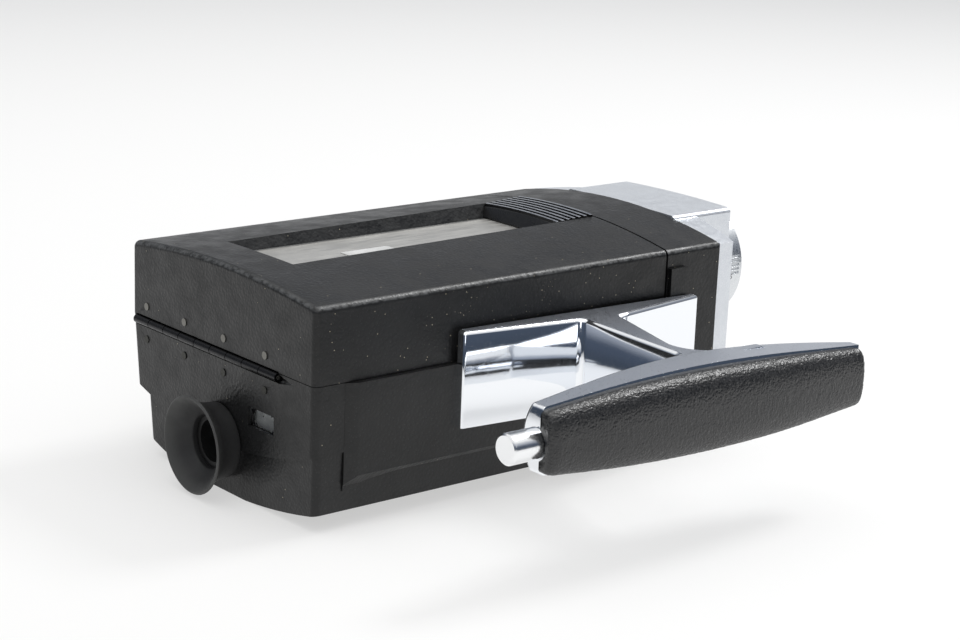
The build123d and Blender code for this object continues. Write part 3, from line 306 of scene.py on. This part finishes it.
def rubber_material(name, colour, roughness):
    look = Look(name, colour, roughness)
    look.bump(look.noise(1400.0, 4.0), 0.2, 0.00005)
    look.colour(look.mix(look.noise(80.0, 4.0), colour, tuple(part * 1.8 for part in colour)))
    look.roughness(look.steps(look.noise(220.0, 3.0), 0.3, 0.7, roughness - 0.06, roughness + 0.08))
    return look


EYECUP_RIM_Y = (-0.0795, -0.0835)


def eyecup_material():
    """Matte rubber, dusty and paler towards the rim."""
    look = rubber_material("eyecup_rubber", (0.016, 0.016, 0.0165), 0.58)
    rim = look.steps(look.axes()["Y"], *EYECUP_RIM_Y)
    dull = look.mix(look.noise(80.0, 4.0), (0.012, 0.012, 0.0125), (0.022, 0.022, 0.022))
    look.colour(look.mix(look.math("MULTIPLY", rim, 0.6), dull, (0.075, 0.075, 0.072)))
    return look.material


def glass_material(name, tint, roughness=0.02):
    look = Look(name, tint, roughness)
    look.shader.inputs["Transmission Weight"].default_value = 1.0
    look.shader.inputs["IOR"].default_value = 1.5
    look.roughness(look.steps(look.noise(400.0, 4.0), 0.4, 0.8, roughness, roughness + 0.08))
    look.colour(look.mix(look.noise(30.0, 2.0), tint, tuple(part * 0.96 for part in tint)))
    return look.material


CATCH_RIBS = (0.0372, 0.0022, 0.0010)  # the first rib's y, the pitch and a rib's width, in metres


def catch_material():
    """Black catch whose rib tops are rubbed to bare silver."""
    look = Look("catch_plastic", (0.006, 0.006, 0.0065), 0.30)
    grained(look, 0.0003, 0.2)
    place = look.axes()
    first, pitch, width = CATCH_RIBS
    turns = look.math("DIVIDE", look.math("SUBTRACT", place["Y"], first), pitch)
    on_rib = look.steps(look.math("FRACT", turns), width / pitch, width / pitch + 0.04, 1.0, 0.0)
    ribs = look.math("MULTIPLY", on_rib, look.steps(look.facing()["Z"], 0.75, 0.92))
    ribs = look.math("MULTIPLY", ribs, look.steps(place["Y"], first - 0.0002, first + 0.0001))
    ribs = look.math("MULTIPLY", ribs, look.steps(look.noise(420.0, 4.0), 0.22, 0.40), clamp=True)
    look.colour(look.mix(ribs, (0.007, 0.007, 0.0075), (0.46, 0.48, 0.52)))
    look.metallic(ribs)
    look.roughness(look.steps(look.noise(300.0, 3.0), 0.3, 0.7, 0.26, 0.38))
    return look.material


def front_material():
    """Painted satin silver with a fine metallic fleck."""
    look = Look("front_silver", (0.74, 0.77, 0.80), 0.36, 0.75)
    flecks = look.noise(3800.0, 2.0)
    look.bump(flecks, 0.15, 0.00002)
    look.colour(look.mix(look.steps(flecks, 0.3, 0.7), (0.68, 0.71, 0.75), (0.79, 0.81, 0.84)))
    look.roughness(look.steps(look.noise(500.0, 3.0), 0.3, 0.7, 0.32, 0.42))
    return look.material


NAMEPLATE_MIDDLE_X = (-0.0172, 0.0101)


def nameplate_material():
    """Brushed pale plate with a darker, slightly tarnished border."""
    look = satin_metal("nameplate_metal", (0.66, 0.65, 0.62), 0.42, 1500.0, (1.0, 0.06, 1.0))
    place = look.axes()
    middle = look.inside(place["X"], *NAMEPLATE_MIDDLE_X, 0.0005)
    look.colour(look.mix(middle, (0.30, 0.30, 0.29), (0.68, 0.67, 0.64)))
    return look.material


materials = {
    "casing_plastic": casing_material(),
    "catch_plastic": catch_material(),
    "inner_plastic": grained_plastic("inner_plastic", (0.010, 0.010, 0.010), 0.55).material,
    "gear_plastic": grained_plastic("gear_plastic", (0.62, 0.60, 0.54), 0.35).material,
    "dial_white": grained_plastic("dial_white", (0.70, 0.69, 0.64), 0.45).material,
    "cell_label": satin_metal("cell_label", (0.45, 0.30, 0.12), 0.35).material,
    "steel": satin_metal("steel", (0.20, 0.195, 0.18), 0.38).material,
    "nameplate_metal": nameplate_material(),
    "clear": glass_material("clear", (0.9, 0.92, 0.95)),
    "lens_glass": glass_material("lens_glass", (0.85, 0.88, 1.0)),
    "seal_foam": rubber_material("seal_foam", (0.010, 0.010, 0.010), 0.9).material,
    "handle_chrome": handle_material(),
    "button_chrome": polished_metal("button_chrome", (0.95, 0.96, 0.97), 0.18, 0.26).material,
    "leather": leather_material(),
    "wire": rubber_material("wire", (0.35, 0.02, 0.015), 0.45).material,
    "front_silver": front_material(),
    "ring_silver": satin_metal("ring_silver", (0.74, 0.76, 0.78), 0.30).material,
    "barrel_black": rubber_material("barrel_black", (0.012, 0.012, 0.013), 0.35).material,
    "mechanism_plate": satin_metal("mechanism_plate", (0.50, 0.50, 0.50), 0.42).material,
    "gate_chrome": polished_metal("gate_chrome", (0.75, 0.76, 0.78)).material,
    "motor_can": satin_metal("motor_can", (0.55, 0.55, 0.56), 0.32).material,
    "brass": satin_metal("brass", (0.78, 0.57, 0.26), 0.3).material,
    "contact_brass": satin_metal("contact_brass", (0.80, 0.62, 0.32), 0.3).material,
    "eyecup_rubber": eyecup_material(),
}

for entry in frame["record"]["subparts"]:
    mesh = nodes[entry["node"]].data
    mesh.materials.clear()
    mesh.materials.append(materials[entry["material_slot"]])

special = {
    "hinge_leaf_upper": satin_metal("blackened_steel", (0.030, 0.030, 0.032), 0.30),
    "hinge_rivets_lower": satin_metal("dulled_steel", (0.060, 0.060, 0.055), 0.45),
    # The window's pale milky colour is a painted highlight standing in for the whitish glints of a clear
    # prism.
    "plate_window": grained_plastic("pale_window_painted_highlight", (0.50, 0.50, 0.49), 0.12, 0.0012),
    "eyepiece_cell": grained_plastic("eyepiece_black", (0.003, 0.003, 0.003), 0.5),
}
special["hinge_leaf_lower"] = special["hinge_leaf_upper"]
for node, look in special.items():
    nodes[node].data.materials[0] = look.material


# ---------------------------------------------------------------- softened edges of the CAD parts
def soften(node, width, angle=32.0, segments=3):
    """Rounds a CAD part's sharp edges with modifiers only."""
    piece = nodes[node]
    weld = piece.modifiers.new("weld", "WELD")
    weld.merge_threshold = 0.000002
    bevel = piece.modifiers.new("rounded", "BEVEL")
    bevel.width = width
    bevel.segments = segments
    bevel.limit_method = "ANGLE"
    bevel.angle_limit = math.radians(angle)
    bevel.use_clamp_overlap = True
    bevel.miter_outer = "MITER_ARC"
    normals = piece.modifiers.new("normals", "WEIGHTED_NORMAL")
    normals.keep_sharp = False
    for polygon in piece.data.polygons:
        polygon.use_smooth = True


soften("handle_casting", 0.2 * MM, 40.0, 2)
soften("front_casting", 0.5 * MM)
soften("start_button", 0.3 * MM)
soften("film_door", 0.3 * MM, segments=2)
soften("main_casing", 0.3 * MM, segments=2)
soften("door_catch", 0.15 * MM, segments=2)
soften("focus_ring", 0.2 * MM, segments=2)
soften("eyecup", 0.2 * MM, segments=2)


# ---------------------------------------------------------------- detailed pieces
def new_piece(name, mesh, body, slot, material=None):
    """Adds a mesh as a piece that moves with a body and takes its finish from a slot."""
    for polygon in mesh.polygons:
        polygon.use_smooth = True
    mesh.materials.append(material or materials[slot])
    piece = bpy.data.objects.new(name, mesh)
    bpy.context.scene.collection.objects.link(piece)
    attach(piece, body)
    return piece


# y, outer face, lowest and highest point of the grip's leather, in millimetres
GRIP = [
    (-48.3, 110.3, 29.8, 46.6),
    (-22.0, 111.9, 27.6, 48.4),
    (5.0, 112.3, 26.5, 48.8),
    (35.0, 111.9, 26.8, 47.7),
    (67.5, 110.2, 29.0, 45.5),
]
GRIP_X0 = 105.5  # inner face
GRIP_STEP = 0.27  # distance between sections
GRIP_AROUND, GRIP_BEHIND = 112, 40  # points on the outside and on the inner face of a section
GRIP_ENDS = (3.4, 1.5)  # how far the rear and front ends are rounded
GRIP_END_DEPTH, GRIP_END_HEIGHT = 1.3, 1.1  # how much lower the ends are, outwards and up and down
GRIP_SQUARE_X, GRIP_SQUARE_Z = 0.62, 0.66  # below 1, a section is squarer than an ellipse
SMOOTH_STRIP = (0.9, 1.1)  # width of the strip without pebbles beside the metal, and of its blend
STRIP_SUNK, GRIP_SUNK, PEBBLE_HEIGHT = 0.14, 0.03, 0.17
GRIP_THIN = 0.02  # least thickness
BAR_END_Y = -46.2
BUTTON_SPACE = 4.6  # radius that the leather leaves free round the start button


def grip_at(y):
    """Outer face, lowest and highest point at y, on a smooth curve through the stations."""
    last = len(GRIP) - 1
    index = max(i for i in range(last) if GRIP[i][0] <= y + 1e-9)
    before, after = GRIP[index], GRIP[index + 1]
    span = after[0] - before[0]
    share = (y - before[0]) / span
    values = []
    for part in (1, 2, 3):
        slopes = []
        for at in (index, index + 1):
            low, high = GRIP[max(at - 1, 0)], GRIP[min(at + 1, last)]
            slopes.append((high[part] - low[part]) / (high[0] - low[0]) * span)
        squared, cubed = share**2, share**3
        values.append(
            (2 * cubed - 3 * squared + 1) * before[part]
            + (cubed - 2 * squared + share) * slopes[0]
            + (3 * squared - 2 * cubed) * after[part]
            + (cubed - squared) * slopes[1]
        )
    return values


PEBBLE_SCALE = 1.25  # pebbles per millimetre
PEBBLE_CREASE = 0.30  # share of a pebble over which its flank rises
NOISE_SEED = 7  # noise_vector differs in each run unless it is seeded


def pebble(point):
    """Height of the leather's pebbles at a point in millimetres, from 0 to about 1."""
    swirl = noise.noise_vector(point * 0.6) * 0.30
    distances = noise.voronoi((point + swirl) * PEBBLE_SCALE)[0]
    rise = min(max((distances[1] - distances[0]) / PEBBLE_CREASE, 0.0), 1.0)
    return rise * (2 - rise) * (0.80 + 0.35 * noise.noise(point * 0.9))


def grip_back(y, z, button):
    """Inner face of the leather: flat on the bar, and clear of the button behind the bar's end."""
    reach = BUTTON_SPACE**2 - (z - button.z) ** 2
    if y > BAR_END_Y or reach <= 0:
        return GRIP_X0
    return max(GRIP_X0, button.x + math.sqrt(reach))


def grip_ring(y, y0, y1):
    """One section of the leather as a closed ring of points."""
    outer, low, high = grip_at(y)
    button = centre_of("start_button")
    rear, front = GRIP_ENDS
    end = max(0.0, 1.0 - (y - y0) / rear, 1.0 - (y1 - y) / front)
    drawn = 1.0 - math.sqrt(max(0.0, 1.0 - end**2))
    depth = outer - GRIP_X0 - drawn * GRIP_END_DEPTH
    half, middle = (high - low) / 2 - drawn * GRIP_END_HEIGHT, (high + low) / 2
    points = []
    for step in range(GRIP_AROUND + 1):
        angle = math.pi * (0.5 - step / GRIP_AROUND)
        c, s = math.cos(angle), math.sin(angle)
        x = depth * abs(c) ** GRIP_SQUARE_X
        z = half * math.copysign(abs(s) ** GRIP_SQUARE_Z, s)
        normal = Vector((x / depth / depth, 0.0, z / half / half)).normalized()
        point = Vector((GRIP_X0 + x, y, middle + z))
        share = min(max((x - SMOOTH_STRIP[0]) / SMOOTH_STRIP[1], 0.0), 1.0)
        point += normal * (share * PEBBLE_HEIGHT * pebble(point) - STRIP_SUNK * (1.0 - share) - GRIP_SUNK)
        point.x = max(point.x, grip_back(y, point.z, button) + GRIP_THIN)
        points.append(point)
    bottom, top = points[-1].z, points[0].z
    for step in range(1, GRIP_BEHIND):
        z = bottom + (top - bottom) * step / GRIP_BEHIND
        points.append(Vector((grip_back(y, z, button), y, z)))
    return points


def grip_leather():
    """Pebbled leather over a padded grip: a smooth strip beside the metal, rounded ends."""
    noise.seed_set(NOISE_SEED)
    y0, y1 = GRIP[0][0], GRIP[-1][0]
    rows = round((y1 - y0) / GRIP_STEP)
    ring = GRIP_AROUND + GRIP_BEHIND
    verts, faces = [], []
    for row in range(rows + 1):
        verts += [point * MM for point in grip_ring(y0 + (y1 - y0) * row / rows, y0, y1)]
    for row in range(rows):
        for step in range(ring):
            first, after = row * ring + step, row * ring + (step + 1) % ring
            faces.append((first, after, after + ring, first + ring))
    faces.append(tuple(reversed(range(ring))))
    faces.append(tuple(range(rows * ring, (rows + 1) * ring)))
    mesh = bpy.data.meshes.new("grip_leather")
    mesh.from_pydata(verts, [], faces)
    checked = bmesh.new()
    checked.from_mesh(mesh)
    bmesh.ops.recalc_face_normals(checked, faces=checked.faces)
    checked.to_mesh(mesh)
    checked.free()
    piece = new_piece("grip_leather", mesh, "casing", "leather")
    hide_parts("grip_cover")


FIGURE_RISE = 0.05  # half the thickness of a figure, in millimetres


def figures(name, texts, size, place, body, slot, material):
    """One mesh of raised figures; place(i, x, y, z) puts a point of text i where it belongs."""
    joined = bmesh.new()
    for index, text in enumerate(texts):
        curve = bpy.data.curves.new("figure", "FONT")
        curve.body = text
        curve.size = size
        curve.extrude = FIGURE_RISE
        curve.resolution_u = 3
        curve.align_x, curve.align_y = "CENTER", "CENTER"
        holder = bpy.data.objects.new("figure", curve)
        bpy.context.scene.collection.objects.link(holder)
        bpy.context.view_layer.update()
        evaluated = holder.evaluated_get(bpy.context.evaluated_depsgraph_get())
        flat = bpy.data.meshes.new_from_object(evaluated)
        for vertex in flat.vertices:
            vertex.co = Vector(place(index, *vertex.co)) * MM
        joined.from_mesh(flat)
        bpy.data.objects.remove(holder)
        bpy.data.curves.remove(curve)
        bpy.data.meshes.remove(flat)
    mesh = bpy.data.meshes.new(name)
    joined.to_mesh(mesh)
    joined.free()
    return new_piece(name, mesh, body, slot, material)


def centre_of(node):
    """Middle of a node's box, in millimetres."""
    low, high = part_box(node)
    return (Vector(low) + Vector(high)) / 2 / MM


DIAL_RADIUS, DIAL_SIZE = 9.5, 2.6
DIAL_STEP = 30.0  # degrees between figures
DIAL_RAISED = 0.03  # from the dial's face to the middle of a figure


def dial_figures():
    """Figures round the frame counter's dial, seen through its window."""
    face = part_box("counter_dial")[0][1] / MM
    middle = centre_of("counter_dial")
    texts = ["50", "45", "40", "35", "30", "25", "20", "15", "10", "5", "0", "-"]

    def place(index, x, y, z):
        angle = math.radians(90.0 - DIAL_STEP * index)
        along, out = x, DIAL_RADIUS + y
        return (
            middle.x + out * math.cos(angle) + along * math.sin(angle),
            face - DIAL_RAISED + z,
            middle.z + out * math.sin(angle) - along * math.cos(angle),
        )

    ink = grained_plastic("dial_ink", (0.012, 0.012, 0.012), 0.5).material
    figures("dial_figures", texts, DIAL_SIZE, place, "counter", "inner_plastic", ink)


RING_FIGURES_Y = 5.4  # from the ring's rear face
RING_SIZE = 2.3
RING_FIRST, RING_PITCH = 19.0, 9.0  # degrees from the start of a quarter, and between figures


def focus_figures():
    """Distances round the focusing ring, between its knurled patches."""
    low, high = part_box("focus_ring")
    middle = centre_of("focus_ring")
    radius, y_mark = (high[0] - low[0]) / 2 / MM, low[1] / MM + RING_FIGURES_Y
    distances = ["30", "15", "10", "7", "5", "4", "3", "2.5"]
    turns = [
        90.0 * quarter + RING_FIRST + RING_PITCH * index
        for quarter in range(4)
        for index in range(len(distances))
    ]

    def place(index, x, y, z):
        angle = math.radians(turns[index]) + y / radius
        out = radius + z
        return (middle.x + out * math.cos(angle), y_mark + x, middle.z + out * math.sin(angle))

    ink = grained_plastic("ring_ink", (0.10, 0.10, 0.10), 0.5).material
    figures("focus_figures", distances * 4, RING_SIZE, place, "focus", "inner_plastic", ink)


grip_leather()
dial_figures()
focus_figures()


# ---------------------------------------------------------------- floor, light and camera
FLOOR_SIZE = 6.0  # half its side
GLOW = 0.55  # strength of the painted light that the paper gives off
GLOW_NEAR, GLOW_FAR = (1.0, 0.997, 0.99), (0.56, 0.565, 0.573)
GLOW_FADE = (0.35, 1.9)  # distances from the object between which the painted pool of light falls off


def floor():
    """White paper with a painted pool of light: it glows a little round the object, as an overexposed sweep
    looks, and the glow also lightens the shadows.
    """
    mesh = bpy.data.meshes.new("floor")
    size = FLOOR_SIZE
    corners = [(-size, -size, 0), (size, -size, 0), (size, size, 0), (-size, size, 0)]
    mesh.from_pydata(corners, [], [(0, 1, 2, 3)])
    piece = bpy.data.objects.new("floor", mesh)
    bpy.context.scene.collection.objects.link(piece)
    look = Look("floor_paper", (0.34, 0.34, 0.34), 0.75)
    look.colour(look.mix(look.noise(1.2, 2.0), (0.345, 0.345, 0.345), (0.335, 0.335, 0.330)))
    look.shader.inputs["Specular IOR Level"].default_value = 0.2
    length = look.node("VectorMath", operation="LENGTH")
    look.link(look.place, length.inputs[0])
    # Painted pool of light: the paper's glow is brightest near the object and fades with distance.
    near = look.steps(length.outputs["Value"], *GLOW_FADE, 1.0, 0.0)
    look.link(look.mix(near, GLOW_FAR, GLOW_NEAR), look.shader.inputs["Emission Color"])
    look.shader.inputs["Emission Strength"].default_value = GLOW
    mesh.materials.append(look.material)


def area_light(name, place, target, size, power):
    """Rectangular white light at a place, facing a target."""
    lamp = bpy.data.lights.new(name, "AREA")
    lamp.shape = "RECTANGLE"
    lamp.size, lamp.size_y = size
    lamp.energy = power
    holder = bpy.data.objects.new(name, lamp)
    holder.location = place
    holder.rotation_euler = (Vector(target) - Vector(place)).to_track_quat("-Z", "Y").to_euler()
    bpy.context.scene.collection.objects.link(holder)


CAMERA_PLACE = (0.49096, -0.39231, 0.20620)
CAMERA_BACK = (0.7403, -0.6212, 0.2571)  # away from the view
CAMERA_AZIMUTH, CAMERA_ROLL = 50.0, 2.13  # degrees
FOCAL_LENGTH, SENSOR_WIDTH = 82.62, 36.0


def camera():
    """Camera behind the object, above its grip side, rolled a little."""
    lens = bpy.data.cameras.new("camera")
    lens.lens = FOCAL_LENGTH
    lens.sensor_width = SENSOR_WIDTH
    lens.clip_start = 0.01
    holder = bpy.data.objects.new("camera", lens)
    azimuth, roll = math.radians(CAMERA_AZIMUTH), math.radians(CAMERA_ROLL)
    back = Vector(CAMERA_BACK).normalized()
    right = Vector((math.cos(azimuth), math.sin(azimuth), 0.0))
    up = back.cross(right).normalized()
    turned_right = right * math.cos(roll) + up * math.sin(roll)
    turned_up = up * math.cos(roll) - right * math.sin(roll)
    rotation = Matrix((turned_right, turned_up, back)).transposed().to_4x4()
    holder.matrix_world = Matrix.Translation(CAMERA_PLACE) @ rotation
    bpy.context.scene.collection.objects.link(holder)
    bpy.context.scene.camera = holder


# Colours of the room and of the backdrop, by the sine of the height over the horizon
ROOM = [
    (0.00, (0.05, 0.065, 0.09)),
    (0.26, (0.07, 0.09, 0.13)),
    (0.48, (0.45, 0.48, 0.54)),
    (0.66, (0.98, 0.98, 0.98)),
    (1.00, (1.00, 1.00, 1.00)),
]
BACKDROP = [
    (0.00, (0.78, 0.79, 0.80)),
    (0.27, (0.60, 0.61, 0.63)),
    (0.37, (0.09, 0.11, 0.14)),
    (0.52, (0.30, 0.32, 0.36)),
    (0.70, (0.98, 0.98, 0.98)),
    (1.00, (1.00, 1.00, 1.00)),
]
BACKDROP_SIDE = (-0.77, 0.64, 0.0)  # level direction towards the pale backdrop
BACKDROP_EDGE = (0.15, 0.55)  # cosines of the angle to it between which the room takes over
ROOM_STRENGTH = 0.92


def world():
    """Dark, bluish room under a pale ceiling, with a pale backdrop along one side."""
    made = bpy.data.worlds.new("studio")
    bpy.context.scene.world = made
    made.use_nodes = True
    tree = made.node_tree
    direction = tree.nodes.new("ShaderNodeTexCoord").outputs["Generated"]
    parts = tree.nodes.new("ShaderNodeSeparateXYZ")
    tree.links.new(direction, parts.inputs[0])
    blend = tree.nodes.new("ShaderNodeMix")
    blend.data_type = "RGBA"
    for index, heights in ((MIX_FIRST, ROOM), (MIX_SECOND, BACKDROP)):
        ramp = tree.nodes.new("ShaderNodeValToRGB")
        ramp.color_ramp.interpolation = "EASE"
        stops = ramp.color_ramp.elements
        for place, (height, colour) in enumerate(heights):
            stop = stops[place] if place < 2 else stops.new(height)
            stop.position = height
            stop.color = (*colour, 1.0)
        tree.links.new(parts.outputs["Z"], ramp.inputs["Fac"])
        tree.links.new(ramp.outputs["Color"], blend.inputs[index])
    towards = tree.nodes.new("ShaderNodeVectorMath")
    towards.operation = "DOT_PRODUCT"
    towards.inputs[1].default_value = BACKDROP_SIDE
    share = tree.nodes.new("ShaderNodeMapRange")
    share.inputs["From Min"].default_value, share.inputs["From Max"].default_value = BACKDROP_EDGE
    background = tree.nodes["Background"]
    background.inputs["Strength"].default_value = ROOM_STRENGTH
    tree.links.new(direction, towards.inputs[0])
    tree.links.new(towards.outputs["Value"], share.inputs["Value"])
    tree.links.new(share.outputs["Result"], blend.inputs["Factor"])
    tree.links.new(blend.outputs[MIX_RESULT], background.inputs["Color"])


floor()
area_light("overhead", place=(0.1, 0.1, 1.3), target=(0.05, 0, 0), size=(1.3, 1.3), power=7.0)
area_light("key", place=(0.12, 0.95, 1.10), target=(0.02, 0, 0.05), size=(0.36, 0.36), power=8.5)
area_light("side", place=(1.3, -0.7, 0.7), target=(0, 0, 0.03), size=(0.6, 0.6), power=2.0)
world()
camera()
bpy.context.scene.view_settings.view_transform = "Standard"

bpy.context.view_layer.update()
